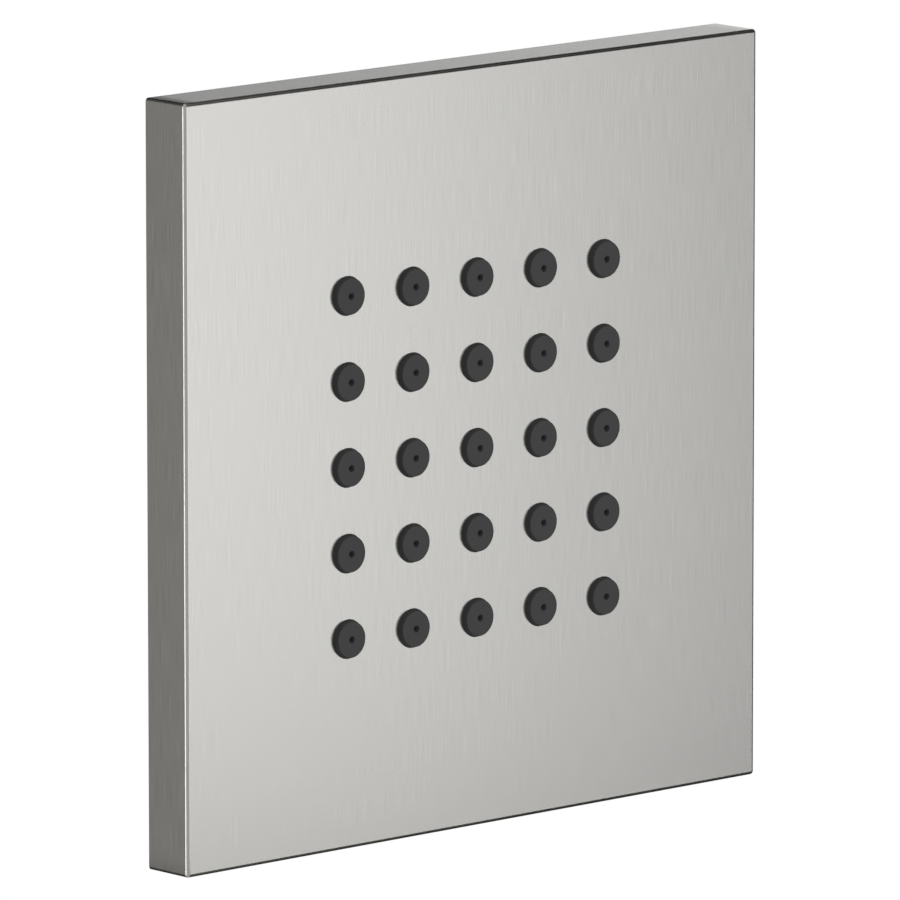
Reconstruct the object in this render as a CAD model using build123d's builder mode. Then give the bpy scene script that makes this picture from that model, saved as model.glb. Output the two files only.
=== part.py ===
from build123d import *
from math import cos, pi, sqrt
import os

# A flush square shower body jet: a brushed cover over a silicone nozzle mat, a water chamber that
# clamps the mat to the cover, and a threaded inlet in the chamber's neck.
# X runs to the right, Z up, and the room is at -Y. Heights are measured from the wall face towards
# the room, so a negative height lies inside the wall. Every length is in millimetres.

# Cover: a square pan with a perforated face
cover_size = 120.0
cover_height = 9.0
face_wall = 2.0
side_wall = 2.0
edge_radius = 0.5

# Nozzles: stems that pass through the cover, each with a six-sided outlet that is close to round
nozzles_per_side = 5
nozzle_pitch = 13.44
nozzle_diameter = 6.35
nozzle_clearance = 0.05
nozzle_stand = 1.0
outlet_width = 1.0

# Nozzle mat, and the slotted plate that keeps it from being pushed in
mat_web = 1.4
mat_border = 15.12
mat_corner = 10.0
retainer_thickness = 1.6
retainer_rib = 6.0
retainer_border = 1.7
seat_clearance = 0.2

# Chamber body: a tray with a flange and posts for the retainer, and the six-sided neck behind it
chamber_depth = 4.0
chamber_wall = 2.4
tray_wall = 3.5
tray_corner = 4.0
flange_lip = 3.5
flange_land = 4.3
flange_thickness = 3.0
post_width = 3.0
water_port_width = 8.0
neck_wall = 3.0
neck_rib_reach = 9.0
neck_rib_thickness = 2.5

# Diffuser that spreads the water in the chamber, and the screen in front of the inlet
diffuser_length = 24.0
diffuser_thickness = 1.0
diffuser_gap = 1.5
screen_width = 17.0
screen_thickness = 1.2
screen_clearance = 0.1
screen_slots = 4
screen_slot_width = 1.2
screen_bar = 0.9

# Studs welded to the inside of the cover, each with the cap nut that clamps the flange
stud_diameter = 4.0
stud_clearance = 0.2
stud_gap = 2.2
nut_width = 7.0
nut_height = 2.4

# Inlet bush, bored for a G 1/2 inside thread
thread_bore_diameter = 18.63
thread_length = 16.0
bush_width = 24.0
bush_stand = 4.0

# Foam strip inside the rim of the cover
gasket_width = 5.0
gasket_clearance = 0.1

# Heights of the layers, from the nozzle tips to the mouth of the inlet
nozzle_tip = cover_height + nozzle_stand
face_inside = cover_height - face_wall
mat_back = face_inside - mat_web
flange_back = mat_back - flange_thickness
nut_back = flange_back - nut_height
retainer_back = mat_back - retainer_thickness
chamber_floor = retainer_back - chamber_depth
diffuser_back = chamber_floor + diffuser_gap
chamber_back = chamber_floor - chamber_wall
screen_back = chamber_back - screen_thickness
bush_back = screen_back - thread_length
neck_back = bush_back + bush_stand

# Sizes that follow from the driving dimensions
cover_inside = cover_size - 2 * side_wall
nozzle_field = (nozzles_per_side - 1) * nozzle_pitch
mat_size = nozzle_field + 2 * mat_border
slot_width = nozzle_pitch - retainer_rib
slot_length = nozzle_field + slot_width
retainer_size = slot_length + 2 * retainer_border
cavity_size = retainer_size + 2 * seat_clearance
tray_size = cavity_size + 2 * tray_wall
post_spacing = (nozzles_per_side - 2) * nozzle_pitch
stud_reach = (mat_size - mat_corner) / sqrt(2) + stud_gap + stud_diameter / 2
notch_width = stud_diameter + 2 * stud_clearance
flange_size = mat_size + 2 * flange_lip
flange_corner = flange_size - (stud_reach + flange_land) * sqrt(2)
neck_width = bush_width + 2 * neck_wall
neck_corner_radius = neck_width / 2 / cos(pi / 6)
gasket_outside = cover_inside - 2 * gasket_clearance
gasket_inside = gasket_outside - 2 * gasket_width


def at_height(height):
    """A sketch plane parallel to the wall at that height, seen from the room."""
    return Plane.XZ.offset(height)


def nozzle_grid():
    """The places of the nozzles on a plane parallel to the wall."""
    return GridLocations(nozzle_pitch, nozzle_pitch, nozzles_per_side, nozzles_per_side)


def stud_ring():
    """The places of the studs, one on each diagonal, with x running outwards."""
    return PolarLocations(stud_reach, 4, start_angle=45)


def cut_square(size, corner):
    """A square with its corners cut off, inside a sketch."""
    square = Rectangle(size, size)
    chamfer(square.vertices(), corner)


def hexagon(width, mode=Mode.ADD):
    """A hexagon of that width across its flats."""
    return RegularPolygon(width / 2, 6, major_radius=False, mode=mode)


# Cover plate: a pan with small radii on its outside edges
with BuildPart() as cover_plate:
    with BuildSketch(at_height(0)):
        Rectangle(cover_size, cover_size)
    extrude(amount=cover_height)
    fillet(cover_plate.edges().filter_by(Axis.Y), edge_radius)
    fillet(cover_plate.faces().sort_by(Axis.Y)[0].edges(), edge_radius)
    with BuildSketch(at_height(0)):
        Rectangle(cover_inside, cover_inside)
    extrude(amount=face_inside, mode=Mode.SUBTRACT)
    with BuildSketch(at_height(face_inside)):
        with nozzle_grid():
            Circle(nozzle_diameter / 2 + nozzle_clearance)
    extrude(amount=face_wall, mode=Mode.SUBTRACT)
cover_plate.part.label = "cover_plate"

# Nozzle mat: a flat web with a grid of stems, bored right through
with BuildPart() as nozzle_mat:
    with BuildSketch(at_height(mat_back)):
        cut_square(mat_size, mat_corner)
    extrude(amount=mat_web)
    with BuildSketch(at_height(face_inside)):
        with nozzle_grid():
            Circle(nozzle_diameter / 2)
    extrude(amount=nozzle_tip - face_inside)
    with BuildSketch(at_height(mat_back)):
        with nozzle_grid():
            hexagon(outlet_width)
    extrude(amount=nozzle_tip - mat_back, mode=Mode.SUBTRACT)
nozzle_mat.part.label = "nozzle_mat"

# Mat retainer: a plate with one slot behind each column of nozzles
with BuildPart() as mat_retainer:
    with BuildSketch(at_height(retainer_back)):
        Rectangle(retainer_size, retainer_size)
        with GridLocations(nozzle_pitch, 0, nozzles_per_side, 1):
            Rectangle(slot_width, slot_length, mode=Mode.SUBTRACT)
    extrude(amount=retainer_thickness)
mat_retainer.part.label = "mat_retainer"

# Chamber body: flange and tray, then the cavity, the posts for the retainer and the water port
with BuildPart() as chamber_body:
    with BuildSketch(at_height(flange_back)):
        cut_square(flange_size, flange_corner)
        with stud_ring():
            with Locations((-notch_width / 2, 0)):
                Rectangle(
                    notch_width / 2 + flange_land,
                    notch_width,
                    align=(Align.MIN, Align.CENTER),
                    mode=Mode.SUBTRACT,
                )
    extrude(amount=flange_thickness)
    with BuildSketch(at_height(chamber_back)):
        cut_square(tray_size, tray_corner)
    extrude(amount=flange_back - chamber_back)
    with BuildSketch(at_height(chamber_floor)):
        Rectangle(cavity_size, cavity_size)
    extrude(amount=mat_back - chamber_floor, mode=Mode.SUBTRACT)
    with BuildSketch(at_height(chamber_floor)):
        with GridLocations(post_spacing, post_spacing, 2, 2):
            Rectangle(post_width, post_width)
    extrude(amount=chamber_depth)
    with BuildSketch(at_height(chamber_back)):
        Rectangle(water_port_width, water_port_width)
    extrude(amount=chamber_wall, mode=Mode.SUBTRACT)
chamber_body.part.label = "chamber_body"

# Inlet neck: a ribbed hexagon welded to the back of the tray, hollow for the screen and the bush
with BuildPart() as inlet_neck:
    with BuildSketch(at_height(neck_back)):
        hexagon(neck_width)
    extrude(amount=chamber_back - neck_back)
    for rib_plane in (Plane.XY, Plane.ZY):
        with BuildSketch(rib_plane):
            with BuildLine():
                Polyline(
                    (-neck_corner_radius - neck_rib_reach, -chamber_back),
                    (neck_corner_radius + neck_rib_reach, -chamber_back),
                    (neck_width / 2, neck_rib_reach - chamber_back),
                    (-neck_width / 2, neck_rib_reach - chamber_back),
                    close=True,
                )
            make_face()
        extrude(amount=neck_rib_thickness / 2, both=True)
    with BuildSketch(at_height(screen_back)):
        Rectangle(screen_width + 2 * screen_clearance, screen_width + 2 * screen_clearance)
    extrude(amount=screen_thickness, mode=Mode.SUBTRACT)
    with BuildSketch(at_height(neck_back)):
        hexagon(bush_width)
    extrude(amount=screen_back - neck_back, mode=Mode.SUBTRACT)
inlet_neck.part.label = "inlet_neck"

# Diffuser: a plate that turns the water sideways, on four legs between the floor and the retainer
with BuildPart() as diffuser_plate:
    with BuildSketch(at_height(diffuser_back)):
        Rectangle(nozzle_pitch + post_width, diffuser_length)
    extrude(amount=diffuser_thickness)
    with BuildSketch(at_height(chamber_floor)):
        with GridLocations(nozzle_pitch, diffuser_length - post_width, 2, 2):
            Rectangle(post_width, post_width)
    extrude(amount=chamber_depth)
diffuser_plate.part.label = "diffuser_plate"

# Inlet screen: a slotted plate that the bush holds over the water port
with BuildPart() as inlet_screen:
    with BuildSketch(at_height(screen_back)):
        Rectangle(screen_width, screen_width)
        with GridLocations(screen_slot_width + screen_bar, 0, screen_slots, 1):
            Rectangle(screen_slot_width, water_port_width, mode=Mode.SUBTRACT)
    extrude(amount=screen_thickness)
inlet_screen.part.label = "inlet_screen"

# Inlet bush: a hexagon moulded into the neck
with BuildPart() as inlet_bush:
    with BuildSketch(at_height(bush_back)):
        hexagon(bush_width)
        Circle(thread_bore_diameter / 2, mode=Mode.SUBTRACT)
    extrude(amount=thread_length)
inlet_bush.part.label = "inlet_bush"

# Clamp studs: shanks from the inside of the face, with their cap nuts behind the flange
with BuildPart() as clamp_studs:
    with BuildSketch(at_height(flange_back)):
        with stud_ring():
            Circle(stud_diameter / 2)
    extrude(amount=face_inside - flange_back)
    with BuildSketch(at_height(nut_back)):
        with stud_ring():
            hexagon(nut_width)
    extrude(amount=nut_height)
clamp_studs.part.label = "clamp_studs"

# Wall gasket: a square foam strip along the inside of the cover's rim
with BuildPart() as wall_gasket:
    with BuildSketch(at_height(0)):
        Rectangle(gasket_outside, gasket_outside)
        Rectangle(gasket_inside, gasket_inside, mode=Mode.SUBTRACT)
    extrude(amount=face_inside)
wall_gasket.part.label = "wall_gasket"

PIECES = (
    cover_plate,
    nozzle_mat,
    mat_retainer,
    chamber_body,
    inlet_neck,
    diffuser_plate,
    inlet_screen,
    inlet_bush,
    clamp_studs,
    wall_gasket,
)

os.makedirs("parts", exist_ok=True)
for piece in PIECES:
    export_step(piece.part, f"parts/{piece.part.label}.step")
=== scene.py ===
import math
from functools import partial

import bmesh
import bpy
import numpy as np
from bpy.props import FloatProperty, FloatVectorProperty, IntProperty, PointerProperty
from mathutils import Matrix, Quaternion, Vector


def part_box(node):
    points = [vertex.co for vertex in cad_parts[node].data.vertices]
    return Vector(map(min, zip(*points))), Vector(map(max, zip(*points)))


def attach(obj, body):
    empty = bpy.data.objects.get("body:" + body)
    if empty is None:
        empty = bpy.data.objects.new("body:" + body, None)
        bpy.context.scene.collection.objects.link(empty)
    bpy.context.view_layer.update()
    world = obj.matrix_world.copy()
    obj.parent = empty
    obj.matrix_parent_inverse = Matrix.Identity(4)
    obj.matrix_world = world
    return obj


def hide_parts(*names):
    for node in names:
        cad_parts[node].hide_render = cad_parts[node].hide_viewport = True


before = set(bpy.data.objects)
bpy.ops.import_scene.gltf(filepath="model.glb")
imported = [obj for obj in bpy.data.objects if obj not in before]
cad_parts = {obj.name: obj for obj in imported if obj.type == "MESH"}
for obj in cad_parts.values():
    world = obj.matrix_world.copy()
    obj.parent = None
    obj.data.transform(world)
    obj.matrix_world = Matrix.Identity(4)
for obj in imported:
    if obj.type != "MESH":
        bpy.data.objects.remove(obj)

bl_info = {
    "name": "Shower body jet",
    "version": (1, 0, 0),
    "blender": (4, 5, 0),
    "location": "3D View > Sidebar > Body jet",
    "description": "Dresses the solids of a square shower body jet and sets up its studio",
    "category": "Object",
}

# Heights are measured from the wall towards the room, so a height is -Y, and one inside the wall is
# negative. Angles round the middle run from +X towards +Z. Lengths are in metres.
MM = 0.001
TURN = 2 * math.pi
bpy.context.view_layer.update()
COVER_LOW, COVER_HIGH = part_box("cover_plate")
MAT_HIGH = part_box("nozzle_mat")[1]
CHAMBER_LOW, CHAMBER_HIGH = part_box("chamber_body")
NECK_LOW, NECK_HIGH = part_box("inlet_neck")
BUSH_LOW, BUSH_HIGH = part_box("inlet_bush")
STUD_LOW, STUD_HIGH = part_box("clamp_studs")
GASKET_LOW, GASKET_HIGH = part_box("wall_gasket")

# Points in one ring of the mouldings and the bush, of a nut and of a nozzle cell
RING_POINTS, NUT_POINTS, CELL_POINTS = 192, 96, 48
# Points at a corner of the cover and the mat, and on a nozzle's rounded edge and a nut's dome
CORNER_POINTS, CURVE_POINTS = 6, 9
# Powers of a soft polygon: the higher the power, the sharper the corners
NECK_POWER, NUT_POWER, TRAY_POWER, CRISP_POWER = 90, 120, 160, 400
# A narrow band beside a rounded edge, which keeps the shading of the flat next to it even
HAIRLINE = 0.02 * MM
# The slope of the cone that chamfers a hexagon
CHAMFER_SLOPE = math.tan(math.radians(30))
# Points that are nearer than this are one point
MERGE_DISTANCE = 1e-7
# The corners of a square
SQUARE = np.array([(-1, -1), (1, -1), (1, 1), (-1, 1)], float)
# A Mix node has these sockets for colours, under names that its other sockets have too
MIX_A, MIX_B, MIX_RESULT = 6, 7, 2
BLACK = (0.0, 0.0, 0.0)


def linear(hex_colour):
    """An sRGB hex value as linear red, green and blue."""
    level = np.array([int(hex_colour[k : k + 2], 16) for k in (1, 3, 5)]) / 255
    curve = np.where(level <= 0.04045, level / 12.92, ((level + 0.055) / 1.055) ** 2.4)
    return tuple(curve.tolist())


# Properties that hold a length or a colour
LengthProperty = partial(FloatProperty, unit="LENGTH")
ColourProperty = partial(FloatVectorProperty, size=3, subtype="COLOR")


class CoverSettings(bpy.types.PropertyGroup):
    """Sizes and colour of the brushed cover."""

    width: LengthProperty(
        name="Width", description="Width and height of the square cover",
        default=COVER_HIGH.x - COVER_LOW.x,
    )
    height: LengthProperty(
        name="Height", description="How far the face stands off the wall", default=-COVER_LOW.y
    )
    face_wall: LengthProperty(name="Face", description="Thickness of the face", default=2.0 * MM)
    side_wall: LengthProperty(name="Rim", description="Thickness of the rim", default=2.0 * MM)
    edge_radius: LengthProperty(
        name="Edge radius", description="Radius of the outside edges", default=0.56 * MM
    )
    hole_diameter: LengthProperty(
        name="Hole", description="Diameter of the hole that each nozzle passes through",
        default=6.22 * MM,
    )
    steel: ColourProperty(
        name="Steel", description="Colour of the brushed steel", default=linear("#DEDDDA")
    )
    brush_line: LengthProperty(
        name="Brush line", description="Width of one brush line", default=0.06 * MM
    )


class NozzleSettings(bpy.types.PropertyGroup):
    """Sizes and colour of the silicone nozzle mat."""

    per_side: IntProperty(
        name="Nozzles per side", description="Nozzles in one row of the square grid", default=5
    )
    pitch: LengthProperty(
        name="Pitch", description="Distance from one nozzle to the next", default=13.44 * MM
    )
    stem_diameter: LengthProperty(
        name="Stem", description="Diameter of a nozzle where it leaves the cover", default=6.20 * MM
    )
    stand: LengthProperty(
        name="Stand", description="How far a nozzle stands out of the cover", default=0.93 * MM
    )
    tip_diameter: LengthProperty(
        name="Tip",
        description="Diameter of a nozzle's end, where its sloping side would meet the flat",
        default=5.64 * MM,
    )
    tip_round: LengthProperty(
        name="Tip rounding", description="Length over which the edge of the tip is rounded",
        default=0.16 * MM,
    )
    outlet_diameter: LengthProperty(
        name="Outlet", description="Diameter of the mouth that the water leaves by",
        default=1.08 * MM,
    )
    outlet_depth: LengthProperty(
        name="Outlet depth", description="Depth of the funnel from the mouth to the jet hole",
        default=0.6 * MM,
    )
    jet_diameter: LengthProperty(
        name="Jet hole", description="Diameter of the hole at the bottom of the funnel",
        default=0.4 * MM,
    )
    cut_corner: LengthProperty(
        name="Cut corner", description="Length cut off each corner of the mat", default=10.0 * MM
    )
    silicone: ColourProperty(
        name="Silicone", description="Colour of the silicone", default=linear("#3F3F40")
    )


class InletSettings(bpy.types.PropertyGroup):
    """Sizes and colours of the pieces behind the cover."""

    flange_thickness: LengthProperty(
        name="Flange", description="Thickness of the flange", default=3.0 * MM
    )
    flange_land: LengthProperty(
        name="Flange land", description="Distance from a stud to the flange's corner side",
        default=4.3 * MM,
    )
    tray_width: LengthProperty(
        name="Tray", description="Width of the chamber's tray", default=72.0 * MM
    )
    tray_corner: LengthProperty(
        name="Tray corner", description="Length cut off each corner of the tray", default=4.0 * MM
    )
    chamber_wall: LengthProperty(
        name="Chamber floor", description="Thickness of the chamber's floor", default=2.4 * MM
    )
    chamber_depth: LengthProperty(
        name="Chamber depth", description="Room for the water between the floor and the retainer",
        default=4.0 * MM,
    )
    cavity_width: LengthProperty(
        name="Cavity", description="Width of the chamber's square cavity", default=65.0 * MM
    )
    port_width: LengthProperty(
        name="Water port", description="Width of the square water port", default=8.0 * MM
    )
    post_width: LengthProperty(
        name="Post", description="Width of a retainer post", default=3.0 * MM
    )
    post_spacing: LengthProperty(
        name="Post spacing", description="Distance between neighbouring posts", default=40.32 * MM
    )
    stud_reach: LengthProperty(
        name="Stud reach", description="Distance of each stud from the middle", default=56.526 * MM
    )
    notch_width: LengthProperty(
        name="Notch", description="Width of the notch that each stud sits in", default=4.4 * MM
    )
    nut_width: LengthProperty(
        name="Nut", description="Width of a nut across its flats", default=7.0 * MM
    )
    nut_height: LengthProperty(name="Nut height", description="Height of a nut", default=2.4 * MM)
    stud_diameter: LengthProperty(name="Stud", description="Diameter of a stud", default=4.0 * MM)
    stud_pitch: LengthProperty(
        name="Stud pitch", description="Distance between turns of a stud's thread", default=0.7 * MM
    )
    neck_width: LengthProperty(
        name="Neck", description="Width of the neck across its flats", default=30.0 * MM
    )
    rib_thickness: LengthProperty(
        name="Rib", description="Thickness of the neck's ribs", default=2.5 * MM
    )
    rib_rise: LengthProperty(
        name="Rib rise", description="How far a rib climbs the neck", default=9.0 * MM
    )
    screen_seat: LengthProperty(
        name="Screen seat", description="Width of the square seat for the inlet screen",
        default=17.2 * MM,
    )
    bush_width: LengthProperty(
        name="Bush", description="Width of the bush across its flats", default=24.0 * MM
    )
    thread_crest: LengthProperty(
        name="Thread crest", description="Diameter at the crests of the inside thread",
        default=18.63 * MM,
    )
    thread_root: LengthProperty(
        name="Thread root", description="Diameter at the roots of the inside thread",
        default=20.955 * MM,
    )
    thread_pitch: LengthProperty(
        name="Thread pitch", description="Distance between turns of the thread, 14 to the inch",
        default=25.4 / 14 * MM,
    )
    gasket_width: LengthProperty(
        name="Foam strip", description="Width of the foam strip", default=5.0 * MM
    )
    moulding: ColourProperty(
        name="Moulding", description="Colour of the chamber and neck", default=linear("#58595C")
    )
    brass: ColourProperty(
        name="Brass", description="Colour of the inlet bush", default=linear("#E0C48A")
    )
    fasteners: ColourProperty(
        name="Fasteners", description="Colour of the studs and nuts", default=linear("#D3D4D4")
    )
    acetal: ColourProperty(
        name="Acetal", description="Colour of the pieces inside the chamber",
        default=linear("#E4E2DC"),
    )
    foam: ColourProperty(
        name="Foam", description="Colour of the foam strip", default=linear("#2B2B2C")
    )


class StageSettings(bpy.types.PropertyGroup):
    """The camera, the floor and the studio light."""

    camera_place: FloatVectorProperty(
        name="Camera", description="Where the camera stands",
        size=3, default=(-1.332235, -1.467529, 0.346410), subtype="TRANSLATION",
    )
    camera_target: FloatVectorProperty(
        name="Target", description="The point at the middle of the picture",
        size=3, default=(0.001198, -0.001566, -0.001485), subtype="TRANSLATION",
    )
    camera_roll: FloatProperty(
        name="Roll", description="How far the camera is turned about its view",
        default=math.radians(-0.033), subtype="ANGLE",
    )
    lens: FloatProperty(
        name="Lens", description="Focal length on a 36 mm sensor", default=515.5, unit="CAMERA"
    )
    floor_drop: LengthProperty(
        name="Floor", description="How far the floor lies below the middle of the cover",
        default=1.2,
    )
    floor: ColourProperty(
        name="Floor colour", description="Colour of the floor", default=linear("#E6E5E3")
    )
    backdrop: ColourProperty(
        name="Backdrop colour", description="Colour of the backdrop", default=linear("#FFFFFF")
    )
    room: ColourProperty(
        name="Room colour", description="Colour of the evenly lit room", default=linear("#AEADAB")
    )
    # The flags are black and glow with these colours: painted light that stands in for lamp light
    # on their cloth, seen only in the metal.
    felt_glow: ColourProperty(
        name="Flag colour", description="Colour of the dark felt flags", default=linear("#121212")
    )
    grey_felt_glow: ColourProperty(
        name="Side flag colour", description="Colour of the grey felt flags beside the cover",
        default=linear("#6A6968"),
    )


class BodyJetSettings(bpy.types.PropertyGroup):
    """All the settings, in one place on the scene."""

    cover: PointerProperty(type=CoverSettings, name="Cover", description="The brushed cover")
    nozzles: PointerProperty(type=NozzleSettings, name="Nozzles", description="The nozzle mat")
    inlet: PointerProperty(
        type=InletSettings, name="Inlet", description="The pieces behind the cover"
    )
    stage: PointerProperty(type=StageSettings, name="Stage", description="Camera, floor and light")


def place(plan, height):
    """Points in space from plan points (x, z) and heights off the wall: (x, -height, z)."""
    plan = np.asarray(plan, float)
    height = np.broadcast_to(height, plan.shape[:-1])
    return np.stack([plan[..., 0], -height, plan[..., 1]], axis=-1)


def around(count):
    """Evenly spaced angles of one turn: the turn times 0, 1, 2 and so on, over the count."""
    return TURN * np.arange(count) / count


def four_times(quarter):
    """The plan points of one quarter, and the same after one, two and three quarter turns."""
    turn = np.array([[0.0, -1.0], [1.0, 0.0]])
    return np.concatenate([quarter @ np.linalg.matrix_power(turn, k) for k in range(4)])


def ring_shell(rings):
    """Points and quads of a grid of rings (rings, points, 3). Each quad joins two neighbours on one
    ring to the same two on the next ring, and the last point of a ring joins the first."""
    rows, count = rings.shape[:2]
    here = np.arange(rows * count).reshape(rows, count)
    ahead = np.roll(here, -1, axis=1)
    quads = np.stack([here[:-1], ahead[:-1], ahead[1:], here[1:]], axis=-1)
    return rings.reshape(-1, 3), quads.reshape(-1, 4).tolist()


def pole_shell(rings):
    """A ring shell closed at both ends by a pole, which is the mean of the end ring's points."""
    first = np.repeat(rings[:1].mean(axis=1, keepdims=True), rings.shape[1], axis=1)
    last = np.repeat(rings[-1:].mean(axis=1, keepdims=True), rings.shape[1], axis=1)
    return ring_shell(np.concatenate([first, rings, last]))


def flat_ended_shell(rings):
    """A ring shell closed at both ends by a flat face with as many sides as a ring has points."""
    points, faces = ring_shell(rings)
    count = rings.shape[1]
    return points, faces + [list(range(count)), list(range(len(points) - count, len(points)))]


def square_shell(along, corner, rows):
    """A ring shell of squares, one for each row (flat, reach, height). A side runs along its flat
    length at the distance flat plus reach from the middle, through the places that along gives; a
    corner point is the flat's end plus the reach times its weights."""
    rings = []
    for flat, reach, height in rows:
        side = np.stack([along * flat, np.full_like(along, flat + reach)], axis=-1)
        quarter = np.concatenate([side, flat + reach * corner])
        rings.append(place(four_times(quarter), height))
    return ring_shell(np.stack(rings))


def rounded_outline(corners, radii, steps=4):
    """Plan points and outward normals of a polygon whose corners are arcs. An arc starts where its
    circle touches the side before the corner and turns by the angle between the two sides; its
    normals are that side's normal, turned by the same share."""
    corners = np.asarray(corners, float)
    before = corners - np.roll(corners, 1, axis=0)
    before /= np.linalg.norm(before, axis=1, keepdims=True)
    after = np.roll(before, -1, axis=0)
    turn = np.arctan2(
        before[:, 0] * after[:, 1] - before[:, 1] * after[:, 0], (before * after).sum(axis=1)
    )
    side = np.sign(turn.sum())
    normal = side * np.stack([before[:, 1], -before[:, 0]], axis=-1)
    start = corners - before * (radii * np.tan(np.abs(turn) / 2))[:, None]
    bend = (radii * np.sign(turn) * side)[:, None]
    centre = start - normal * bend
    angle = turn[:, None] * np.linspace(0, 1, steps + 1)
    cos, sin = np.cos(angle), np.sin(angle)
    normals = np.stack(
        [
            cos * normal[:, :1] - sin * normal[:, 1:],
            sin * normal[:, :1] + cos * normal[:, 1:],
        ],
        axis=-1,
    )
    points = centre[:, None] + normals * bend[:, None]
    return points.reshape(-1, 2), normals.reshape(-1, 2)


def soft_polygon(angles, facing, distances, power):
    """Distance from the middle to the edge of a polygon at each angle. Each side has the direction
    it faces and its distance, and the power mean of the sides leaves small round corners."""
    nearest = distances.min()
    share = np.maximum(np.cos(angles[:, None] - facing), 0) * nearest / distances
    return nearest * (share**power).sum(axis=1) ** (-1 / power)


def soft_hexagon(angles, width, power):
    """A soft polygon of six sides, of that width across its flats, with a corner on +X."""
    return soft_polygon(angles, TURN * (np.arange(6) + 0.5) / 6, np.full(6, width / 2), power)


def square_at(angles, half):
    """Plan points of a square at the angles: the heading over its larger part, times half the
    width."""
    heading = np.stack([np.cos(angles), np.sin(angles)], axis=-1)
    return half * heading / np.abs(heading).max(axis=1, keepdims=True)


def round_rings(angles, rows):
    """A ring for each row (radius, height): the radius times the cosine and the sine of the angles.
    A radius or a height is one number, or one for each angle."""
    circle = np.stack([np.cos(angles), np.sin(angles)], axis=-1)
    return np.stack([place(np.asarray(r)[..., None] * circle, h) for r, h in rows])


def edge_rows(radius, steps=4):
    """Insets and drops of a rounded edge, from the flat face to the side: a quarter circle."""
    angle = np.linspace(0, math.pi / 2, steps + 1)
    return radius * (np.sin(angle) - 1), radius * (np.cos(angle) - 1)


def thread_radius(angles, levels, crest, root, pitch):
    """Radius of a thread at each level and angle. The level in pitches less the share of a turn
    gives the place on the tooth, which is a triangle wave, stretched by a third and cut flat."""
    stretch = 1.35
    phase = (levels[:, None] / pitch - angles / TURN) % 1.0
    wave = np.clip(stretch * np.abs(2 * phase - 1) - (stretch - 1) / 2, 0, 1)
    return crest + (root - crest) * wave


def squared_off(wave, power=0.22):
    """A wave from -1 to 1 that stays near its limits: its size to a small power, with its sign."""
    return np.sign(wave) * np.abs(wave) ** power


def add_node(tree, kind, inputs=None, **settings):
    """Adds one node with its settings. Its inputs are values, or outputs of other nodes to link."""
    node = tree.nodes.new(kind)
    for name, value in settings.items():
        setattr(node, name, value)
    for socket, value in (inputs or {}).items():
        if isinstance(value, bpy.types.NodeSocket):
            tree.links.new(value, node.inputs[socket])
        else:
            node.inputs[socket].default_value = value
    return node


def start_material(name):
    """A new material with only its output: the material, its tree and its surface socket."""
    material = bpy.data.materials.new(name)
    material.use_nodes = True
    tree = material.node_tree
    tree.nodes.clear()
    return material, tree, add_node(tree, "ShaderNodeOutputMaterial").inputs["Surface"]


def shades(colour, dark, pale):
    """A darker and a paler shade of a colour, as the inputs of a Mix node: the colour's parts times
    each factor, and no more than 1."""
    sockets = ((MIX_A, dark), (MIX_B, pale))
    return {key: (*(min(1.0, factor * c) for c in colour), 1.0) for key, factor in sockets}


def brushed_stainless_steel(colour, brush_line):
    """Stainless sheet brushed with a fine belt, up and down. The eye gets a satin grey with a faint
    warm cast, hair lines along the belt's path, and reflections drawn out across the lines."""
    material, tree, surface = start_material("brushed_stainless_steel")
    unfolded = add_node(tree, "ShaderNodeUVMap", uv_map="unfolded")
    across = add_node(tree, "ShaderNodeTangent", direction_type="UV_MAP", uv_map="unfolded")
    # One wave of the noise is a dark and a pale line, and it is 60 times as long as it is wide.
    wave, stretch = 2 * brush_line, 60
    line = add_node(
        tree,
        "ShaderNodeMapping",
        {"Vector": unfolded.outputs["UV"], "Scale": (1 / wave, 1 / (stretch * wave), 1.0)},
    )
    hair = add_node(
        tree,
        "ShaderNodeTexNoise",
        {"Vector": line.outputs["Vector"], "Scale": 1.0, "Detail": 2.0, "Roughness": 0.5},
        noise_dimensions="2D",
    ).outputs["Fac"]
    tone = add_node(
        tree, "ShaderNodeMix", {"Factor": hair, **shades(colour, 0.85, 1.15)}, data_type="RGBA"
    )
    spread = {"From Min": 0.25, "From Max": 0.75, "To Min": 0.235, "To Max": 0.265}
    rough = add_node(tree, "ShaderNodeMapRange", {"Value": hair, **spread})
    groove = add_node(
        tree, "ShaderNodeBump", {"Height": hair, "Strength": 0.02, "Distance": 0.01 * MM}
    )
    steel = add_node(
        tree,
        "ShaderNodeBsdfPrincipled",
        {
            "Base Color": tone.outputs[MIX_RESULT],
            "Metallic": 1.0,
            "Roughness": rough.outputs["Result"],
            "Anisotropic": 0.5,
            "Tangent": across.outputs["Tangent"],
            "Normal": groove.outputs["Normal"],
        },
    )
    tree.links.new(steel.outputs["BSDF"], surface)
    return material


def matt_silicone(colour):
    """Liquid silicone moulded in a finely blasted tool. The eye gets a dark, even grey with a soft
    sheen towards the edges and hardly a highlight."""
    material, tree, surface = start_material("moulded_silicone")
    where = add_node(tree, "ShaderNodeTexCoord").outputs["Object"]
    # The blast marks are some 0.05 mm wide, and are drawn at 0.3 mm so that they show at all.
    grain = add_node(
        tree, "ShaderNodeTexNoise", {"Vector": where, "Scale": 1 / (0.3 * MM), "Detail": 2.0}
    ).outputs["Fac"]
    tone = add_node(
        tree, "ShaderNodeMix", {"Factor": grain, **shades(colour, 0.93, 1.07)}, data_type="RGBA"
    )
    skin = add_node(
        tree, "ShaderNodeBump", {"Height": grain, "Strength": 0.1, "Distance": 0.02 * MM}
    )
    rubber = add_node(
        tree,
        "ShaderNodeBsdfPrincipled",
        {
            "Base Color": tone.outputs[MIX_RESULT],
            "Roughness": 0.6,
            "IOR": 1.41,
            "Normal": skin.outputs["Normal"],
        },
    )
    tree.links.new(rubber.outputs["BSDF"], surface)
    return material


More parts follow.
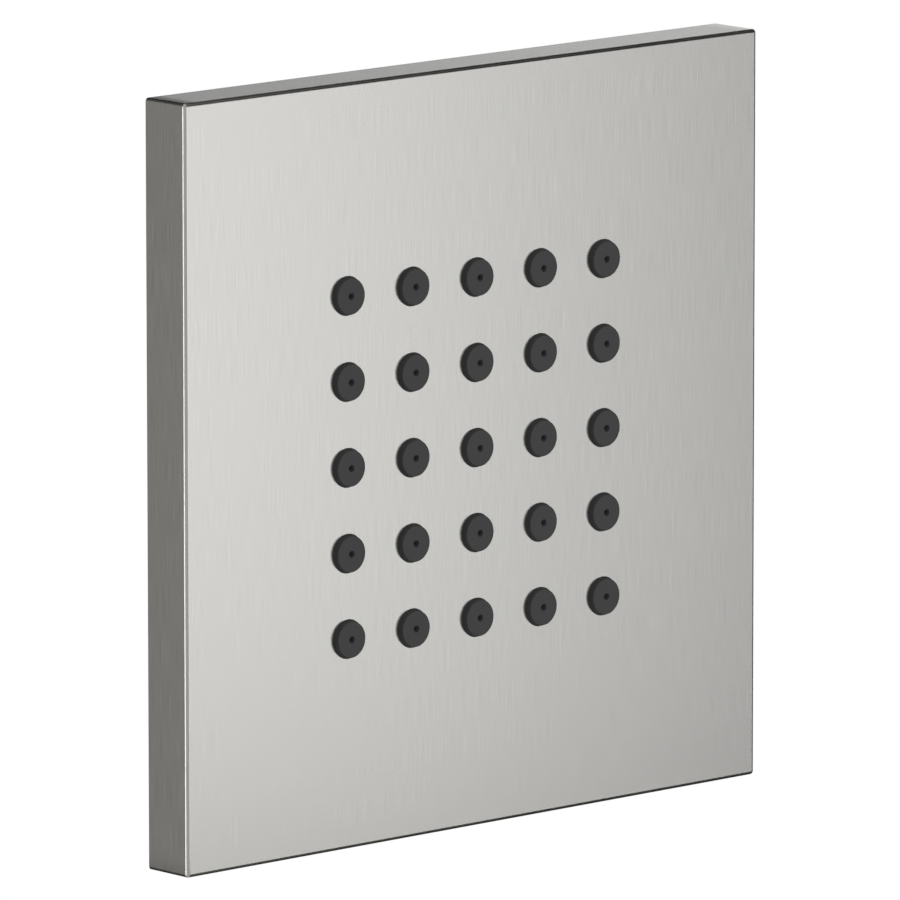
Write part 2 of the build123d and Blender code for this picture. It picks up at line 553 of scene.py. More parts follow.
def moulded_nylon(colour):
    """Glass-filled nylon from a spark-eroded mould. The eye gets a dry dark grey with a fine even
    grain, and slightly paler patches some 9 mm wide where the fibres lie near the surface."""
    material, tree, surface = start_material("glass_filled_nylon")
    where = add_node(tree, "ShaderNodeTexCoord").outputs["Object"]
    # The erosion grain of some 0.1 mm is drawn at 0.35 mm so that it shows in the render.
    grain = add_node(
        tree, "ShaderNodeTexNoise", {"Vector": where, "Scale": 1 / (0.35 * MM), "Detail": 2.0}
    ).outputs["Fac"]
    fibres = add_node(
        tree, "ShaderNodeTexNoise", {"Vector": where, "Scale": 1 / (9 * MM), "Detail": 4.0}
    ).outputs["Fac"]
    tone = add_node(
        tree, "ShaderNodeMix", {"Factor": fibres, **shades(colour, 0.85, 1.2)}, data_type="RGBA"
    )
    rough = add_node(tree, "ShaderNodeMapRange", {"Value": grain, "To Min": 0.42, "To Max": 0.62})
    skin = add_node(
        tree, "ShaderNodeBump", {"Height": grain, "Strength": 0.25, "Distance": 0.05 * MM}
    )
    nylon = add_node(
        tree,
        "ShaderNodeBsdfPrincipled",
        {
            "Base Color": tone.outputs[MIX_RESULT],
            "Roughness": rough.outputs["Result"],
            "IOR": 1.53,
            "Normal": skin.outputs["Normal"],
        },
    )
    tree.links.new(nylon.outputs["BSDF"], surface)
    return material


def natural_acetal(colour):
    """Unpigmented acetal from a polished mould. The eye gets a milky off-white with a waxy gloss
    and faint flow marks some 5 mm wide."""
    material, tree, surface = start_material("natural_acetal")
    where = add_node(tree, "ShaderNodeTexCoord").outputs["Object"]
    flow = add_node(
        tree, "ShaderNodeTexNoise", {"Vector": where, "Scale": 1 / (5 * MM), "Detail": 3.0}
    ).outputs["Fac"]
    tone = add_node(
        tree, "ShaderNodeMix", {"Factor": flow, **shades(colour, 0.94, 1.0)}, data_type="RGBA"
    )
    rough = add_node(tree, "ShaderNodeMapRange", {"Value": flow, "To Min": 0.3, "To Max": 0.45})
    acetal = add_node(
        tree,
        "ShaderNodeBsdfPrincipled",
        {
            "Base Color": tone.outputs[MIX_RESULT],
            "Roughness": rough.outputs["Result"],
            "IOR": 1.48,
            "Subsurface Weight": 0.15,
            "Subsurface Radius": (1.0, 1.0, 0.9),
            "Subsurface Scale": 0.4 * MM,
        },
    )
    tree.links.new(acetal.outputs["BSDF"], surface)
    return material


def turned_brass(colour):
    """Free-cutting brass, drawn as a hexagon and turned on the end. The eye gets a warm yellow
    metal with faint drawing lines along the flats and a slight dulling from handling."""
    material, tree, surface = start_material("turned_brass")
    where = add_node(tree, "ShaderNodeTexCoord").outputs["Object"]
    # The drawing lines are 0.4 mm wide and 12 mm long, and the dull patches some 6 mm wide.
    wide, long = 1 / (0.4 * MM), 1 / (12 * MM)
    drawn = add_node(tree, "ShaderNodeMapping", {"Vector": where, "Scale": (wide, long, wide)})
    lines = add_node(
        tree,
        "ShaderNodeTexNoise",
        {"Vector": drawn.outputs["Vector"], "Scale": 1.0, "Detail": 3.0},
    ).outputs["Fac"]
    dull = add_node(
        tree, "ShaderNodeTexNoise", {"Vector": where, "Scale": 1 / (6 * MM), "Detail": 4.0}
    ).outputs["Fac"]
    tone = add_node(
        tree, "ShaderNodeMix", {"Factor": dull, **shades(colour, 0.84, 1.06)}, data_type="RGBA"
    )
    rough = add_node(tree, "ShaderNodeMapRange", {"Value": lines, "To Min": 0.2, "To Max": 0.36})
    groove = add_node(
        tree, "ShaderNodeBump", {"Height": lines, "Strength": 0.12, "Distance": 0.02 * MM}
    )
    brass = add_node(
        tree,
        "ShaderNodeBsdfPrincipled",
        {
            "Base Color": tone.outputs[MIX_RESULT],
            "Metallic": 1.0,
            "Roughness": rough.outputs["Result"],
            "Normal": groove.outputs["Normal"],
        },
    )
    tree.links.new(brass.outputs["BSDF"], surface)
    return material


def bright_stainless_steel(colour):
    """Cold-headed stainless steel, tumbled bright. The eye gets a clean grey metal with soft edges
    and dull marks from the barrel, some 0.6 mm wide."""
    material, tree, surface = start_material("tumbled_stainless_steel")
    where = add_node(tree, "ShaderNodeTexCoord").outputs["Object"]
    marks = add_node(
        tree, "ShaderNodeTexNoise", {"Vector": where, "Scale": 1 / (0.6 * MM), "Detail": 3.0}
    ).outputs["Fac"]
    tone = add_node(
        tree, "ShaderNodeMix", {"Factor": marks, **shades(colour, 0.88, 1.0)}, data_type="RGBA"
    )
    rough = add_node(tree, "ShaderNodeMapRange", {"Value": marks, "To Min": 0.2, "To Max": 0.38})
    steel = add_node(
        tree,
        "ShaderNodeBsdfPrincipled",
        {
            "Base Color": tone.outputs[MIX_RESULT],
            "Metallic": 1.0,
            "Roughness": rough.outputs["Result"],
        },
    )
    tree.links.new(steel.outputs["BSDF"], surface)
    return material


def closed_cell_foam(colour):
    """Closed-cell rubber foam, slit from a block. The eye gets a dead black-grey with the cut
    cells, some
    0.8 mm wide, as small hollows all over. The colour is darker in each hollow, which is painted
    shade."""
    material, tree, surface = start_material("closed_cell_foam")
    where = add_node(tree, "ShaderNodeTexCoord").outputs["Object"]
    cells = add_node(tree, "ShaderNodeTexVoronoi", {"Vector": where, "Scale": 1 / (0.8 * MM)})
    pits_and_painted_shade = add_node(
        tree, "ShaderNodeMapRange", {"Value": cells.outputs["Distance"], "From Max": 0.6}
    ).outputs["Result"]
    # The colour is darkest in the middle of each cell, where the bump makes a hollow: painted
    # shade.
    tone = add_node(
        tree, "ShaderNodeMix", {"Factor": pits_and_painted_shade, **shades(colour, 0.55, 1.15)}, data_type="RGBA"
    )
    skin = add_node(
        tree, "ShaderNodeBump", {"Height": pits_and_painted_shade, "Strength": 0.6, "Distance": 0.25 * MM}
    )
    foam = add_node(
        tree,
        "ShaderNodeBsdfPrincipled",
        {
            "Base Color": tone.outputs[MIX_RESULT],
            "Roughness": 0.9,
            "IOR": 1.5,
            "Normal": skin.outputs["Normal"],
        },
    )
    tree.links.new(foam.outputs["BSDF"], surface)
    return material


def plain_paint(name, colour=BLACK, glow=BLACK):
    """Flat paint, paper or cloth for the stage, which may glow: the backdrop paper as if lit from
    behind, and the flags with painted light in place of lamp light on them.
    """
    material, tree, surface = start_material(name)
    paint = add_node(
        tree,
        "ShaderNodeBsdfPrincipled",
        {
            "Base Color": (*colour, 1.0),
            "Roughness": 0.9,
            "Emission Color": (*glow, 1.0),
            "Emission Strength": 1.0,
        },
    )
    tree.links.new(paint.outputs["BSDF"], surface)
    return material


def add_mesh(name, shells, material, crease=30.0, unfold=None):
    """One object from shells of points and faces. Doubled points are merged, so seams and poles
    close, faces are turned outwards, and edges sharper than the crease angle stay sharp."""
    points = np.concatenate([points for points, _ in shells])
    starts = np.cumsum([0] + [len(points) for points, _ in shells]).tolist()
    faces = [[start + k for k in face] for start, shell in zip(starts, shells) for face in shell[1]]
    mesh = bpy.data.meshes.new(name)
    mesh.from_pydata(points.tolist(), [], faces)
    if unfold is not None:
        corner = np.zeros(len(mesh.loops), np.int32)
        mesh.loops.foreach_get("vertex_index", corner)
        layer = mesh.uv_layers.new(name="unfolded")
        layer.data.foreach_set("uv", unfold(points)[corner].astype(np.float32).ravel())
    work = bmesh.new()
    work.from_mesh(mesh)
    bmesh.ops.remove_doubles(work, verts=work.verts, dist=MERGE_DISTANCE)
    bmesh.ops.dissolve_degenerate(work, edges=work.edges, dist=MERGE_DISTANCE)
    bmesh.ops.recalc_face_normals(work, faces=work.faces)
    work.to_mesh(mesh)
    work.free()
    mesh.shade_smooth()
    mesh.set_sharp_from_angle(angle=math.radians(crease))
    mesh.materials.append(material)
    piece = bpy.data.objects.new(name, mesh)
    bpy.context.scene.collection.objects.link(piece)
    return piece


def stand_for(piece, node):
    """The piece rides on the root body and takes the place of a solid, which it hides."""
    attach(piece, "root")
    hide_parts(node)


def nozzle_cells(nozzles, profile):
    """One shell for each square cell of the nozzle grid. A profile row (radius, share, height)
    gives a ring between a circle of that radius, at share 0, and the cell's square edge, at
    share 1."""
    angle = around(CELL_POINTS)
    heading = np.stack([np.sin(angle), np.cos(angle)], axis=-1)
    square = heading / np.abs(heading).max(axis=1, keepdims=True) * nozzles.pitch / 2
    radius, share, height = (column[:, None, None] for column in np.asarray(profile, float).T)
    rings = (1 - share) * radius * heading + share * square
    step = (np.arange(nozzles.per_side) - (nozzles.per_side - 1) / 2) * nozzles.pitch
    centres = np.stack(np.meshgrid(step, step), axis=-1).reshape(-1, 1, 1, 2)
    return [ring_shell(cell) for cell in place(centres + rings, height[..., 0])]


def field_side(nozzles):
    """Places along one side of the nozzle field, from -1 to 1, where the cells' points lie: each
    cell's points are spaced by the tangent of equal angles."""
    cell = np.tan(np.linspace(-math.pi / 4, math.pi / 4, CELL_POINTS // 4 + 1))
    step = np.arange(nozzles.per_side) * 2 - (nozzles.per_side - 1)
    places = (step[:, None] + cell[:-1]).ravel()
    return np.append(places, nozzles.per_side) / nozzles.per_side


class BODYJET_OT_cover(bpy.types.Operator):
    """Make the brushed cover with its rounded edges and its field of holes"""

    bl_idname = "body_jet.cover"
    bl_label = "Brushed cover"

    def execute(self, context):
        cover, nozzles = context.scene.body_jet.cover, context.scene.body_jet.nozzles
        front = cover.height
        inside = front - cover.face_wall
        half, radius = cover.width / 2, cover.edge_radius
        flat, rim = half - radius, half - cover.side_wall
        field = nozzles.per_side * nozzles.pitch / 2
        hole, deburr, margin = cover.hole_diameter / 2, 0.01 * MM, 0.05 * MM
        # Each cell runs over the face, round the deburred edge of its hole and along the inside.
        inset, drop = edge_rows(deburr)
        profile = [(0, 1, front), (hole + margin, 0, front)]
        profile += [(hole - i, 0, front + d) for i, d in zip(inset, drop)]
        profile += [(hole, 0, inside + HAIRLINE), (hole, 0, inside), (0, 1, inside)]
        # The rest of the face, the rounded edge, the rim and the inside are one set of squares.
        bend = np.linspace(0, math.pi / 2, CORNER_POINTS + 2)[1:-1]
        corner = np.stack([np.sin(bend), np.cos(bend)], axis=-1)
        inset, drop = edge_rows(radius, steps=8)
        rows = [(field, 0, front), (flat - HAIRLINE, 0, front)]
        rows += [(flat, radius + i, front + d) for i, d in zip(inset, drop)]
        rows += [(flat, radius, front - radius - HAIRLINE), (flat, radius, 0)]
        rows += [(rim, 0, 0), (rim, 0, inside), (field, 0, inside)]

        def unfold(points):
            """Where a point lies on the flat sheet: what it is behind the face adds to x or z."""
            x, behind, z = points[:, 0], points[:, 1] + front, points[:, 2]
            sideways = np.abs(x) >= np.abs(z)
            u = np.where(sideways, x + np.sign(x) * behind, x)
            v = np.where(sideways, z, z + np.sign(z) * behind)
            return np.stack([u, v], axis=-1)

        piece = add_mesh(
            "brushed_cover",
            [square_shell(field_side(nozzles), corner, rows), *nozzle_cells(nozzles, profile)],
            brushed_stainless_steel(tuple(cover.steel), cover.brush_line),
            unfold=unfold,
        )
        stand_for(piece, "cover_plate")
        return {"FINISHED"}


class BODYJET_OT_nozzle_mat(bpy.types.Operator):
    """Make the silicone mat with its sloping nozzles"""

    bl_idname = "body_jet.nozzle_mat"
    bl_label = "Silicone nozzle mat"

    def execute(self, context):
        cover, nozzles = context.scene.body_jet.cover, context.scene.body_jet.nozzles
        back, face, tip = -MAT_HIGH.y, cover.height, cover.height + nozzles.stand
        web, funnel = face - cover.face_wall, tip - nozzles.outlet_depth
        stem, end = nozzles.stem_diameter / 2, nozzles.tip_diameter / 2
        outlet, jet = nozzles.outlet_diameter / 2, nozzles.jet_diameter / 2
        # The side slopes from the cover to the end. Its edge is a parabola, which leaves the side
        # and meets the flat at the same distance from where the two would cross.
        crossing = np.array([end, tip])
        side = np.array([stem, face]) - crossing
        leave = crossing + side / np.linalg.norm(side) * nozzles.tip_round
        meet = crossing - np.array([nozzles.tip_round, 0])
        share = np.linspace(0, 1, CURVE_POINTS)[:, None]
        edge = (1 - share) ** 2 * leave + 2 * share * (1 - share) * crossing + share**2 * meet
        # A small fillet joins the stem to the web, and a narrow band of the flat lies beside each
        # of its rounded edges.
        fillet, fillet_rise, lip, band = 0.2 * MM, 0.05 * MM, 0.08 * MM, 0.03 * MM
        inset, drop = edge_rows(lip)
        profile = [(0, 1, web), (stem + fillet, 0, web), (stem, 0, web + fillet_rise)]
        profile += [(stem, 0, face - HAIRLINE), (stem, 0, face)]
        profile += [(radius, 0, height) for radius, height in edge]
        profile += [(end - nozzles.tip_round - band, 0, tip), (outlet + lip + band, 0, tip)]
        profile += [(outlet - i, 0, tip + d) for i, d in zip(inset, drop)]
        profile += [(jet, 0, funnel), (jet, 0, back), (0, 1, back)]
        # The border of the web, with its corners cut off, is one set of squares.
        field, cut = nozzles.per_side * nozzles.pitch / 2, nozzles.cut_corner
        flat = MAT_HIGH.x - cut
        share = np.linspace(0, 1, CORNER_POINTS + 2)[1:-1]
        corner = np.stack([share, 1 - share], axis=-1)
        rows = [(field, 0, web), (flat, cut, web), (flat, cut, back), (field, 0, back)]
        piece = add_mesh(
            "nozzle_mat_moulding",
            [square_shell(field_side(nozzles), corner, rows), *nozzle_cells(nozzles, profile)],
            matt_silicone(tuple(nozzles.silicone)),
            crease=40.0,
        )
        stand_for(piece, "nozzle_mat")
        return {"FINISHED"}


class BODYJET_OT_chamber(bpy.types.Operator):
    """Make the moulded chamber and its ribbed neck, with rounded edges"""

    bl_idname = "body_jet.chamber"
    bl_label = "Chamber and neck"

    def execute(self, context):
        inlet = context.scene.body_jet.inlet
        nylon = moulded_nylon(tuple(inlet.moulding))
        shells = [self.flange(inlet), self.tray(inlet), *self.posts(inlet)]
        chamber = add_mesh("chamber_moulding", shells, nylon, crease=35.0)
        stand_for(chamber, "chamber_body")
        shells = [self.neck(inlet), *self.ribs(inlet)]
        neck = add_mesh("neck_moulding", shells, nylon, crease=35.0)
        stand_for(neck, "inlet_neck")
        return {"FINISHED"}

    def flange(self, inlet):
        """A square outline with a notch cut into each short corner side, carried through the rows
        of a rounded edge on both faces and then round the square cavity."""
        top = -CHAMBER_LOW.y
        back = top - inlet.flange_thickness
        half, land = CHAMBER_HIGH.x, inlet.stud_reach + inlet.flange_land
        cut = 2 * half - land * math.sqrt(2)
        notch, slot = inlet.stud_reach - inlet.notch_width / 2, inlet.notch_width / 2
        outward, across = np.array([1, 1]) / math.sqrt(2), np.array([1, -1]) / math.sqrt(2)
        quarter = np.array(
            [
                (half - cut, half),
                land * outward - slot * across,
                notch * outward - slot * across,
                notch * outward,
                notch * outward + slot * across,
                land * outward + slot * across,
                (half, half - cut),
            ]
        )
        outside, lip, bottom, edge = 0.8 * MM, 0.6 * MM, 1.2 * MM, 0.4 * MM
        radii = np.tile([outside, lip, bottom, 0.0, bottom, lip, outside], 4)
        points, normals = rounded_outline(four_times(quarter), radii)
        angles = np.minimum.accumulate(np.unwrap(np.arctan2(points[:, 1], points[:, 0])))
        inset, drop = edge_rows(edge)
        offsets = np.concatenate([inset, inset[::-1]])
        heights = np.concatenate([top + drop, back - drop[::-1]])
        rings = place(points + offsets[:, None, None] * normals, heights[:, None])
        mouth = square_at(angles, inlet.cavity_width / 2)
        inside = np.stack([place(mouth, back), place(mouth, top), rings[0]])
        return ring_shell(np.concatenate([rings, inside]))

    def tray(self, inlet):
        """A soft eight-sided polygon, carried back from the flange and round the edge of the floor,
        then through the square water port and up the square cavity."""
        top, back = -CHAMBER_LOW.y - inlet.flange_thickness, -CHAMBER_HIGH.y
        floor = back + inlet.chamber_wall
        angles = around(RING_POINTS)
        flat, short = inlet.tray_width / 2, (inlet.tray_width - inlet.tray_corner) / math.sqrt(2)
        reach = soft_polygon(angles, around(8), np.tile([flat, short], 4), TRAY_POWER)
        edge, band = 0.8 * MM, 0.1 * MM
        inset, drop = edge_rows(edge)
        rows = [(reach, top), (reach, back + edge + band)]
        rows += [(reach + i, back - d) for i, d in zip(inset[::-1], drop[::-1])]
        outside = round_rings(angles, rows)
        port = square_at(angles, inlet.port_width / 2)
        mouth = square_at(angles, inlet.cavity_width / 2)
        inside = [place(port, back), place(port, floor), place(mouth, floor), place(mouth, top)]
        return ring_shell(np.concatenate([outside, inside, outside[:1]]))

    def posts(self, inlet):
        """Four square posts that stand on the floor and carry the retainer."""
        floor = inlet.chamber_wall - CHAMBER_HIGH.y
        levels = floor, floor + inlet.chamber_depth
        post, centres = SQUARE * inlet.post_width / 2, SQUARE * inlet.post_spacing / 2
        return [flat_ended_shell(np.stack([place(post + c, h) for h in levels])) for c in centres]

    def neck(self, inlet):
        """Rings of soft polygons: a hexagon outside, the bush's hexagon and the screen's square
        inside."""
        front, end, seat = -NECK_LOW.y, -NECK_HIGH.y, -BUSH_LOW.y
        angles = around(RING_POINTS)
        outside = soft_hexagon(angles, inlet.neck_width, NECK_POWER)
        pocket = soft_hexagon(angles, inlet.bush_width, CRISP_POWER)
        square = soft_polygon(angles, around(4), np.full(4, inlet.screen_seat / 2), CRISP_POWER)
        edge, band = 0.6 * MM, 0.1 * MM
        inset, drop = edge_rows(edge)
        rows = [(square, front), (outside, front), (outside, end + edge + band)]
        rows += [(outside + i, end - d) for i, d in zip(inset[::-1], drop[::-1])]
        rows += [(pocket, end), (pocket, seat), (square, seat), (square, front)]
        return ring_shell(round_rings(angles, rows))

    def ribs(self, inlet):
        """Four rounded triangles between the tray and the neck, carried across their thickness.
        Each starts inside the neck's wall and has a blunt tip."""
        base, tip, foot = NECK_LOW.y, NECK_HIGH.x, inlet.neck_width / 2
        wall, rise = 0.9 * foot, base + inlet.rib_rise
        blunt, blunt_rise, tip_radius, top_radius = 0.3 * MM, 0.5 * MM, 0.25 * MM, 0.8 * MM
        triangle = [(wall, base), (tip, base), (tip - blunt, base + blunt_rise)]
        triangle += [(foot, rise), (wall, rise)]
        radii = np.array([0.0, 0.0, tip_radius, top_radius, 0.0])
        points, normals = rounded_outline(triangle, radii)
        edge, half = 0.3 * MM, inlet.rib_thickness / 2
        inset, drop = edge_rows(edge, steps=3)
        # Only the sloping side has round edges; the others end in the tray and in the neck.
        sloping = np.sqrt(np.clip(normals.sum(axis=1), 0, 1))[:, None]
        offsets = np.concatenate([inset, inset[::-1]])[:, None, None] * sloping
        levels = np.concatenate([drop + half, -drop[::-1] - half])
        section = points + offsets * normals
        reach, depth = section[..., 0], np.maximum(section[..., 1], base)
        side = np.broadcast_to(levels[:, None], reach.shape)
        shells = []
        for heading in around(4):
            x = reach * math.cos(heading) - side * math.sin(heading)
            z = reach * math.sin(heading) + side * math.cos(heading)
            shells.append(flat_ended_shell(np.stack([x, depth, z], axis=-1)))
        return shells


class BODYJET_OT_inlet_bush(bpy.types.Operator):
    """Make the brass bush with its chamfered hexagon and inside thread"""

    bl_idname = "body_jet.inlet_bush"
    bl_label = "Threaded inlet bush"

    def execute(self, context):
        inlet = context.scene.body_jet.inlet
        front, end = -BUSH_LOW.y, -BUSH_HIGH.y
        angles = around(RING_POINTS)
        hexagon = soft_hexagon(angles, inlet.bush_width, CRISP_POWER)
        crest, root = inlet.thread_crest / 2, inlet.thread_root / 2
        turned, mouth = 0.97 * inlet.bush_width / 2, root + 0.15 * MM
        # The end is chamfered by a cone, which cuts the hexagon deepest at its corners.
        chamfer = end + (hexagon - turned) * CHAMFER_SLOPE
        rows = [(crest, front), (hexagon, front), (hexagon, chamfer), (turned, end), (mouth, end)]
        # The thread fades out into a countersink at the mouth, and its last rows are a plain bore.
        bore_rows, plain_rows = 160, 3
        levels = np.linspace(end, front, bore_rows)
        thread = thread_radius(angles, levels, crest, root, inlet.thread_pitch)
        countersink = mouth - (levels - end)[:, None]
        bore = np.maximum(thread, countersink)
        bore[-plain_rows:] = crest
        rings = round_rings(angles, [*rows, *zip(bore, levels)])
        piece = add_mesh("threaded_bush", [ring_shell(rings)], turned_brass(tuple(inlet.brass)))
        stand_for(piece, "inlet_bush")
        return {"FINISHED"}


class BODYJET_OT_cap_nuts(bpy.types.Operator):
    """Make the four threaded studs with their low cap nuts"""

    bl_idname = "body_jet.cap_nuts"
    bl_label = "Studs and cap nuts"

    def execute(self, context):
        inlet = context.scene.body_jet.inlet
        top, nut_end = -STUD_LOW.y, -STUD_HIGH.y
        seat = nut_end + inlet.nut_height
        angles = around(NUT_POINTS)
        hexagon = soft_hexagon(angles, inlet.nut_width, NUT_POWER)
        # The hexagon's end is cut by a cone, and a flattened sphere closes the cap over it.
        collar, dome, chamfer = 0.9 * inlet.nut_width / 2, 0.9 * MM, 0.15 * MM
        dome_foot, dome_reach, underside = nut_end + dome, 0.94 * collar, 0.9 * hexagon
        rows = [(underside, seat), (hexagon, seat - chamfer)]
        rows += [(hexagon, dome_foot + (hexagon - collar) * CHAMFER_SLOPE), (collar, dome_foot)]
        swing = np.linspace(0, math.pi / 2, CURVE_POINTS)[:-1]
        rows += [(dome_reach * math.cos(s), dome_foot - dome * math.sin(s)) for s in swing]
        nut = round_rings(angles, [*rows, (0.0, nut_end)])
        # The stud starts just clear of the nut, and its thread is half a pitch deep.
        clear, shank_rows = 0.01 * MM, 60
        levels = np.linspace(seat + clear, top, shank_rows)
        radius, pitch = inlet.stud_diameter / 2, inlet.stud_pitch
        thread = thread_radius(angles, levels, radius - pitch / 2, radius, pitch)
        shank = round_rings(angles, zip(thread, levels))
        shells = []
        for heading in TURN * (np.arange(4) + 0.5) / 4:
            cos, sin = math.cos(heading), math.sin(heading)
            turn = np.array([[cos, 0, sin], [0, 1, 0], [-sin, 0, cos]])
            offset = np.array([cos, 0, sin]) * inlet.stud_reach
            shells += [pole_shell(nut @ turn + offset), pole_shell(shank @ turn + offset)]
        steel = bright_stainless_steel(tuple(inlet.fasteners))
        piece = add_mesh("cap_nuts_and_studs", shells, steel, crease=25.0)
        stand_for(piece, "clamp_studs")
        return {"FINISHED"}


class BODYJET_OT_wall_gasket(bpy.types.Operator):
    """Make the foam strip inside the rim"""

    bl_idname = "body_jet.wall_gasket"
    bl_label = "Foam strip"

    def execute(self, context):
        inlet = context.scene.body_jet.inlet
        half, depth = inlet.gasket_width / 2, -GASKET_LOW.y
        # The section is a squared-off ellipse, carried round a square with mitred corners.
        section_points, side_points, mitre = 40, 41, np.array([[1.0, 1.0]])
        angle = around(section_points)
        reach = half * squared_off(np.cos(angle))
        height = depth / 2 * (1 + squared_off(np.sin(angle)))
        rows = [(GASKET_HIGH.x - half, r, h) for r, h in zip(reach, height)]
        strip = square_shell(np.linspace(-1, 1, side_points), mitre, rows + rows[:1])
        piece = add_mesh("foam_strip", [strip], closed_cell_foam(tuple(inlet.foam)), crease=50.0)
        stand_for(piece, "wall_gasket")
        return {"FINISHED"}


class BODYJET_OT_inner_pieces(bpy.types.Operator):
    """Give the pieces inside the chamber their natural acetal"""

    bl_idname = "body_jet.inner_pieces"
    bl_label = "Pieces inside the chamber"

    def execute(self, context):
        acetal = natural_acetal(tuple(context.scene.body_jet.inlet.acetal))
        for node in ("mat_retainer", "diffuser_plate", "inlet_screen"):
            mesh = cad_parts[node].data
            mesh.materials.clear()
            mesh.materials.append(acetal)
        return {"FINISHED"}


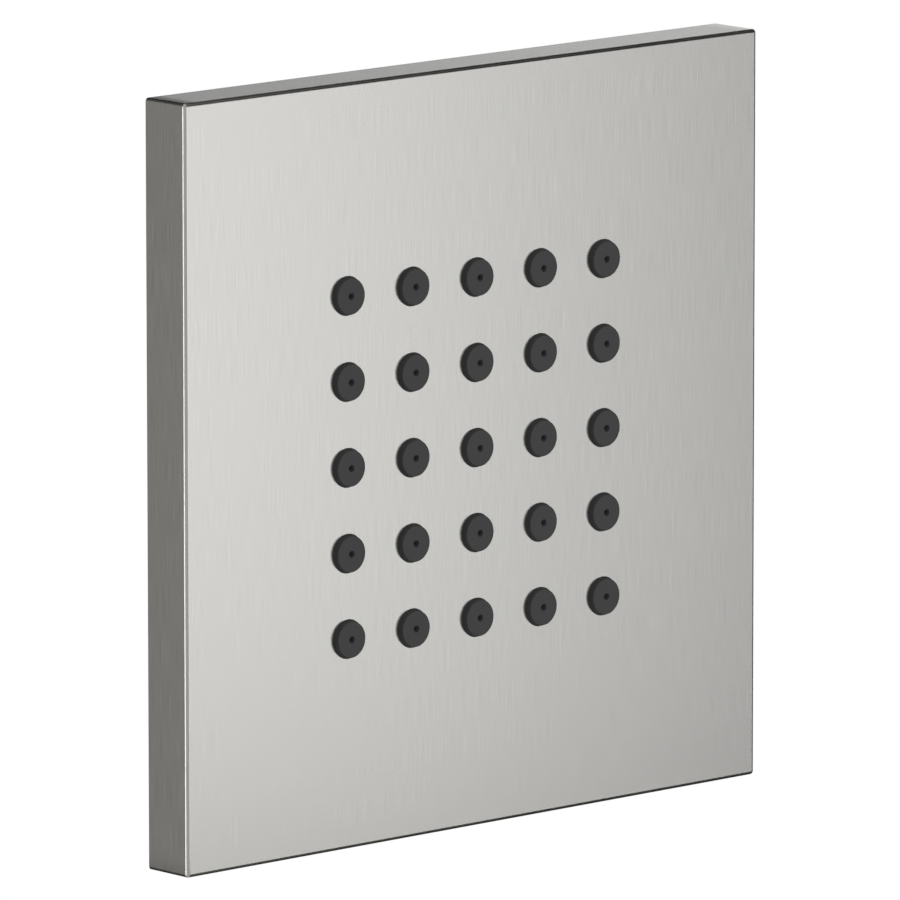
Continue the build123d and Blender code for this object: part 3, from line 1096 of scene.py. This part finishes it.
class BODYJET_OT_stage(bpy.types.Operator):
    """Set up the camera, the pale floor, the backdrop, the flags and the studio light"""

    bl_idname = "body_jet.stage"
    bl_label = "Camera, floor and light"

    def execute(self, context):
        scene = context.scene
        stage = scene.body_jet.stage
        scene.view_settings.view_transform = "Standard"
        self.add_camera(scene, stage)
        self.add_room(scene, stage)
        self.add_flags(stage)
        self.add_lamps(scene)
        return {"FINISHED"}

    def add_camera(self, scene, stage):
        """A camera that looks from its place to its target and is rolled about its view."""
        camera = bpy.data.objects.new("camera", bpy.data.cameras.new("camera"))
        scene.collection.objects.link(camera)
        camera.data.sensor_width = 36.0
        camera.data.lens = stage.lens
        camera.data.clip_start, camera.data.clip_end = 0.1, 100.0
        view = Vector(stage.camera_target) - Vector(stage.camera_place)
        roll = Quaternion((0, 0, 1), stage.camera_roll)
        camera.location = stage.camera_place
        camera.rotation_mode = "QUATERNION"
        camera.rotation_quaternion = view.to_track_quat("-Z", "Y") @ roll
        scene.camera = camera

    def add_room(self, scene, stage):
        """A wide floor, an evenly lit room, and a white card far behind the cover that fills the
        picture. The card's corners are places across the view and heights above the floor."""
        half_floor, card_distance = 2.2, 3.4
        corners = ((-0.21, 0), (1.4, 0), (1.4, 2.27), (0.4, 2.27), (-0.21, 1.73))
        drop = stage.floor_drop
        floor = np.c_[SQUARE * half_floor, np.full(len(SQUARE), -drop)]
        view = np.array(stage.camera_target) - np.array(stage.camera_place)
        view = view[:2] / np.linalg.norm(view[:2])
        side = np.array([view[1], -view[0]])
        card = np.array([(*(view * card_distance + s * side), h - drop) for s, h in corners])
        floor_paint = plain_paint("pale_floor_paint", colour=tuple(stage.floor))
        card_paper = plain_paint("backlit_white_paper", glow=tuple(stage.backdrop))
        for name, points, material in (
            ("floor", floor, floor_paint),
            ("backdrop", card, card_paper),
        ):
            add_mesh(name, [(points, [list(range(len(points)))])], material)
        world = bpy.data.worlds.new("pale_room")
        world.use_nodes = True
        scene.world = world
        tree = world.node_tree
        tree.nodes.clear()
        room = add_node(
            tree, "ShaderNodeBackground", {"Color": (*stage.room, 1.0), "Strength": 1.0}
        )
        add_node(tree, "ShaderNodeOutputWorld", {"Surface": room.outputs["Background"]})

    def add_flags(self, stage):
        """Upright dark or grey sheets, which give the cover's edges and sides something to mirror.
        Each has its
            colour, its lowest and highest level and the points of its foot in plan. Only metal
            shows them. A
            sheet is black and glows with its colour: painted light that stands in for lamp light on
                it."""
        felt_glow, grey = stage.felt_glow, stage.grey_felt_glow
        corner = ((0.45, -0.40), (0.45, 0.38), (0.25, 0.60), (-0.95, 0.60))
        gap = (-0.30, 0.36)
        flags = (
            ("upper_flag", felt_glow, (0.36, 0.90), corner),
            ("lower_flag", felt_glow, (-0.95, -0.30), ((0.45, -0.60), *corner)),
            ("left_back_flag", grey, gap, ((-0.20, 0.60), (-0.95, 0.60))),
            ("front_right_flag", felt_glow, (-0.55, 1.00), ((0.30, -1.20), (0.92, -0.82))),
            ("far_flag", felt_glow, (-2.00, 2.40), ((3.40, 1.60), (1.50, 3.50))),
            ("right_front_flag", felt_glow, gap, ((0.45, -0.40), (0.45, -0.13))),
            ("right_flag", grey, gap, ((0.45, -0.13), (0.45, 0.13))),
            ("right_back_flag", felt_glow, gap, ((0.45, 0.13), (0.45, 0.38))),
        )
        for name, colour, levels, foot in flags:
            count = len(foot)
            points = np.c_[np.tile(foot, (2, 1)), np.repeat(levels, count)]
            here = np.arange(count - 1)
            faces = np.stack([here, here + 1, here + 1 + count, here + count], axis=-1)
            # The sheet is black, and its tone is a glow: painted light, not lamp light on the
            # cloth.
            sheet = plain_paint(f"{name}_felt", glow=tuple(colour))
            flag = add_mesh(name, [(points, faces.tolist())], sheet)
            flag.visible_camera = flag.visible_diffuse = flag.visible_shadow = False

    def add_lamps(self, scene):
        """Soft boxes: name, colour, aim, size, brightness, spread, and whether metal shows the box.
        The aim is the azimuth from the front towards the left, the elevation and the distance. The
        power of a box is its brightness times its area and a half turn. The two fills light the
        matt pieces and stay out of the steel."""
        boxes = (
            ("front_right_box", "#FFFFFF", (-29.3, -5.1, 1.10), (0.620, 0.455), 1.200, 180.0, True),
            ("left_strip", "#FFFDF8", (105.0, -8.0, 0.60), (0.14, 0.60), 2.6, 180.0, True),
            ("front_fill", "#FFFFFF", (-16.0, 6.0, 1.20), (0.90, 0.90), 1.05, 100.0, False),
            ("back_fill", "#FFFFFF", (180.0, 10.0, 1.20), (0.90, 0.90), 1.5, 100.0, False),
        )
        for name, colour, aim, size, brightness, spread, mirrored in boxes:
            azimuth, elevation, distance = aim
            turn, rise = math.radians(azimuth), math.radians(elevation)
            heading = Vector(
                (-math.sin(turn) * math.cos(rise), -math.cos(turn) * math.cos(rise), math.sin(rise))
            )
            light = bpy.data.lights.new(name, "AREA")
            light.shape = "RECTANGLE"
            light.size, light.size_y = size
            light.spread = math.radians(spread)
            light.energy = brightness * size[0] * size[1] * math.pi
            light.color = linear(colour)
            lamp = bpy.data.objects.new(name, light)
            lamp.location = heading * distance
            lamp.rotation_mode = "QUATERNION"
            lamp.rotation_quaternion = heading.to_track_quat("Z", "Y")
            lamp.visible_camera = False
            lamp.visible_glossy = mirrored
            scene.collection.objects.link(lamp)


OPERATORS = (
    BODYJET_OT_cover,
    BODYJET_OT_nozzle_mat,
    BODYJET_OT_chamber,
    BODYJET_OT_inlet_bush,
    BODYJET_OT_cap_nuts,
    BODYJET_OT_wall_gasket,
    BODYJET_OT_inner_pieces,
    BODYJET_OT_stage,
)


class BODYJET_PT_sidebar(bpy.types.Panel):
    """The pieces of the body jet and the sizes they are made from"""

    bl_idname = "BODYJET_PT_sidebar"
    bl_label = "Shower body jet"
    bl_space_type = "VIEW_3D"
    bl_region_type = "UI"
    bl_category = "Body jet"

    def draw(self, context):
        for operator in OPERATORS:
            self.layout.operator(operator.bl_idname)
        settings = context.scene.body_jet
        for name in ("cover", "nozzles", "inlet", "stage"):
            group = getattr(settings, name)
            box = self.layout.box()
            box.label(text=name.capitalize())
            for prop in group.__annotations__:
                box.prop(group, prop)


CLASSES = (
    CoverSettings,
    NozzleSettings,
    InletSettings,
    StageSettings,
    BodyJetSettings,
    *OPERATORS,
    BODYJET_PT_sidebar,
)


def register():
    for cls in CLASSES:
        bpy.utils.register_class(cls)
    bpy.types.Scene.body_jet = PointerProperty(
        type=BodyJetSettings, name="Body jet", description="Sizes and colours of the body jet"
    )


def unregister():
    del bpy.types.Scene.body_jet
    for cls in reversed(CLASSES):
        bpy.utils.unregister_class(cls)


def main():
    register()
    bpy.ops.body_jet.cover()
    bpy.ops.body_jet.nozzle_mat()
    bpy.ops.body_jet.chamber()
    bpy.ops.body_jet.inlet_bush()
    bpy.ops.body_jet.cap_nuts()
    bpy.ops.body_jet.wall_gasket()
    bpy.ops.body_jet.inner_pieces()
    bpy.ops.body_jet.stage()


if __name__ == "__main__":
    main()
